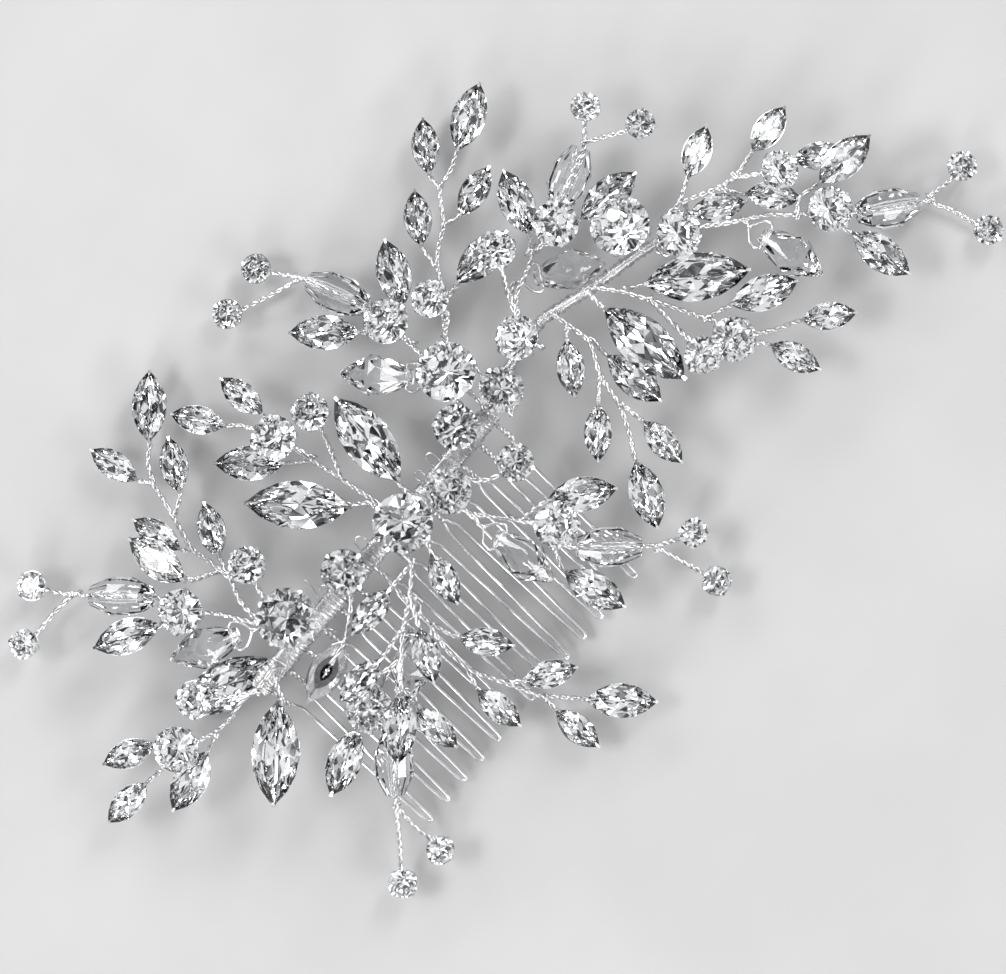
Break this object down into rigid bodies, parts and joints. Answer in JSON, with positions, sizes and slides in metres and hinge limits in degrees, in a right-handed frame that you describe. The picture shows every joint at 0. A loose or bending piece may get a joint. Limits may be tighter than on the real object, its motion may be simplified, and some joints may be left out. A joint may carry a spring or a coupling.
{
  "type": "decorative hair comb",
  "caption": "Hair comb with hairpin wire teeth on a wrapped rail that carries sprays of set crystals, turning barrel beads and swinging drop beads.",
  "frame": {"origin": "middle of the comb's rail bar, where the comb sits in the hair", "axes": "+X along the rail towards the long end of the ornament, teeth point to -Y, +Z is the face of the ornament"},
  "size_m": [0.1507, 0.0856, 0.0171],
  "materials": {
    "crystal": "clear foiled crystal, faceted and polished",
    "bead_glass": "clear faceted glass",
    "drop_glass": "clear faceted glass",
    "setting": "polished silver-coloured plate",
    "twig_wire": "silver-coloured craft wire, two strands twisted",
    "wrap_wire": "fine silver-coloured wire wound in layers",
    "comb_wire": "plated spring wire and strip"
  },
  "bodies": {
    "root": {"backbone_crystals": "crystal", "backbone_settings": "setting", "backbone_twigs": "twig_wire", "comb_front_crystals": "crystal", "comb_front_settings": "setting", "comb_front_twigs": "twig_wire", "comb_teeth": "comb_wire", "drop_loops": "twig_wire", "inner_left_crystals": "crystal", "inner_left_settings": "setting", "inner_left_twigs": "twig_wire", "left_crystals": "crystal", "left_settings": "setting", "left_twigs": "twig_wire", "lower_crystals": "crystal", "lower_left_crystals": "crystal", "lower_left_settings": "setting", "lower_left_twigs": "twig_wire", "lower_settings": "setting", "lower_twigs": "twig_wire", "neck_twists": "comb_wire", "rail_bar": "comb_wire", "rail_wrap": "wrap_wire", "right_crystals": "crystal", "right_lower_crystals": "crystal", "right_lower_settings": "setting", "right_lower_twigs": "twig_wire", "right_settings": "setting", "right_twigs": "twig_wire", "spine_core": "comb_wire", "spine_wrap": "wrap_wire", "tall_crystals": "crystal", "tall_settings": "setting", "tall_twigs": "twig_wire", "trailing_crystals": "crystal", "trailing_settings": "setting", "trailing_twigs": "twig_wire", "upper_left_crystals": "crystal", "upper_left_settings": "setting", "upper_left_twigs": "twig_wire", "upper_middle_crystals": "crystal", "upper_middle_settings": "setting", "upper_middle_twigs": "twig_wire", "upper_right_crystals": "crystal", "upper_right_settings": "setting", "upper_right_twigs": "twig_wire"},
    "left_barrel": {"left_barrel_bead": "bead_glass"},
    "left_drop": {"left_drop_bead": "drop_glass"},
    "upper_left_barrel": {"upper_left_barrel_bead": "bead_glass"},
    "upper_left_drop": {"upper_left_drop_bead": "drop_glass"},
    "upper_middle_barrel": {"upper_middle_barrel_bead": "bead_glass"},
    "upper_middle_drop": {"upper_middle_drop_bead": "drop_glass"},
    "upper_right_barrel": {"upper_right_barrel_bead": "bead_glass"},
    "upper_right_drop": {"upper_right_drop_bead": "drop_glass"},
    "comb_front_barrel": {"comb_front_barrel_bead": "bead_glass"},
    "comb_front_drop": {"comb_front_drop_bead": "drop_glass"},
    "lower_barrel": {"lower_barrel_bead": "bead_glass"},
    "lower_drop": {"lower_drop_bead": "drop_glass"}
  },
  "joints": [
    {"name": "left_barrel_turn", "type": "hinge", "parent": "root", "child": "left_barrel", "pos_m": [-0.02795, 0.02325, -0.00304], "axis": [-0.6087, 0.7636, -0.2153], "continuous": true},
    {"name": "left_drop_swing", "type": "hinge", "parent": "root", "child": "left_drop", "pos_m": [-0.0222, 0.0076, -0.00045], "axis": [-0.5, -0.866, 0], "range_deg": [-10, 10]},
    {"name": "upper_left_barrel_turn", "type": "hinge", "parent": "root", "child": "upper_left_barrel", "pos_m": [0.02415, 0.02745, -0.00426], "axis": [-0.2691, 0.9366, -0.2246], "continuous": true},
    {"name": "upper_left_drop_swing", "type": "hinge", "parent": "root", "child": "upper_left_drop", "pos_m": [0.0214, 0.0124, -0.00059], "axis": [-0.7986, -0.6018, 0], "range_deg": [-10, 10]},
    {"name": "upper_middle_barrel_turn", "type": "hinge", "parent": "root", "child": "upper_middle_barrel", "pos_m": [0.0574, 0.0128, -0.00099], "axis": [0.9426, 0.3225, -0.0863], "continuous": true},
    {"name": "upper_middle_drop_swing", "type": "hinge", "parent": "root", "child": "upper_middle_drop", "pos_m": [0.0444, 0.0069, -0.00125], "axis": [0.6018, 0.7986, 0], "range_deg": [-10, 10]},
    {"name": "upper_right_barrel_turn", "type": "hinge", "parent": "root", "child": "upper_right_barrel", "pos_m": [0.08325, -0.0242, -0.00448], "axis": [0.7548, -0.6126, -0.2344], "continuous": true},
    {"name": "upper_right_drop_swing", "type": "hinge", "parent": "root", "child": "upper_right_drop", "pos_m": [0.0687, -0.0138, -0.00029], "axis": [0.9925, 0.1219, 0], "range_deg": [-4, 8]},
    {"name": "comb_front_barrel_turn", "type": "hinge", "parent": "root", "child": "comb_front_barrel", "pos_m": [0.0214, -0.02465, -0.0005], "axis": [0.6484, -0.7457, -0.1534], "continuous": true},
    {"name": "comb_front_drop_swing", "type": "hinge", "parent": "root", "child": "comb_front_drop", "pos_m": [0.0124, -0.0124, 0.00169], "axis": [0.9994, 0.0349, 0], "range_deg": [-10, 10]},
    {"name": "lower_barrel_turn", "type": "hinge", "parent": "root", "child": "lower_barrel", "pos_m": [-0.0211, -0.021, 0.00011], "axis": [-0.7316, -0.6608, -0.1675], "continuous": true},
    {"name": "lower_drop_swing", "type": "hinge", "parent": "root", "child": "lower_drop", "pos_m": [-0.0056, -0.012, 0.00058], "axis": [0.5299, -0.848, 0], "range_deg": [-4, 4]}
  ]
}
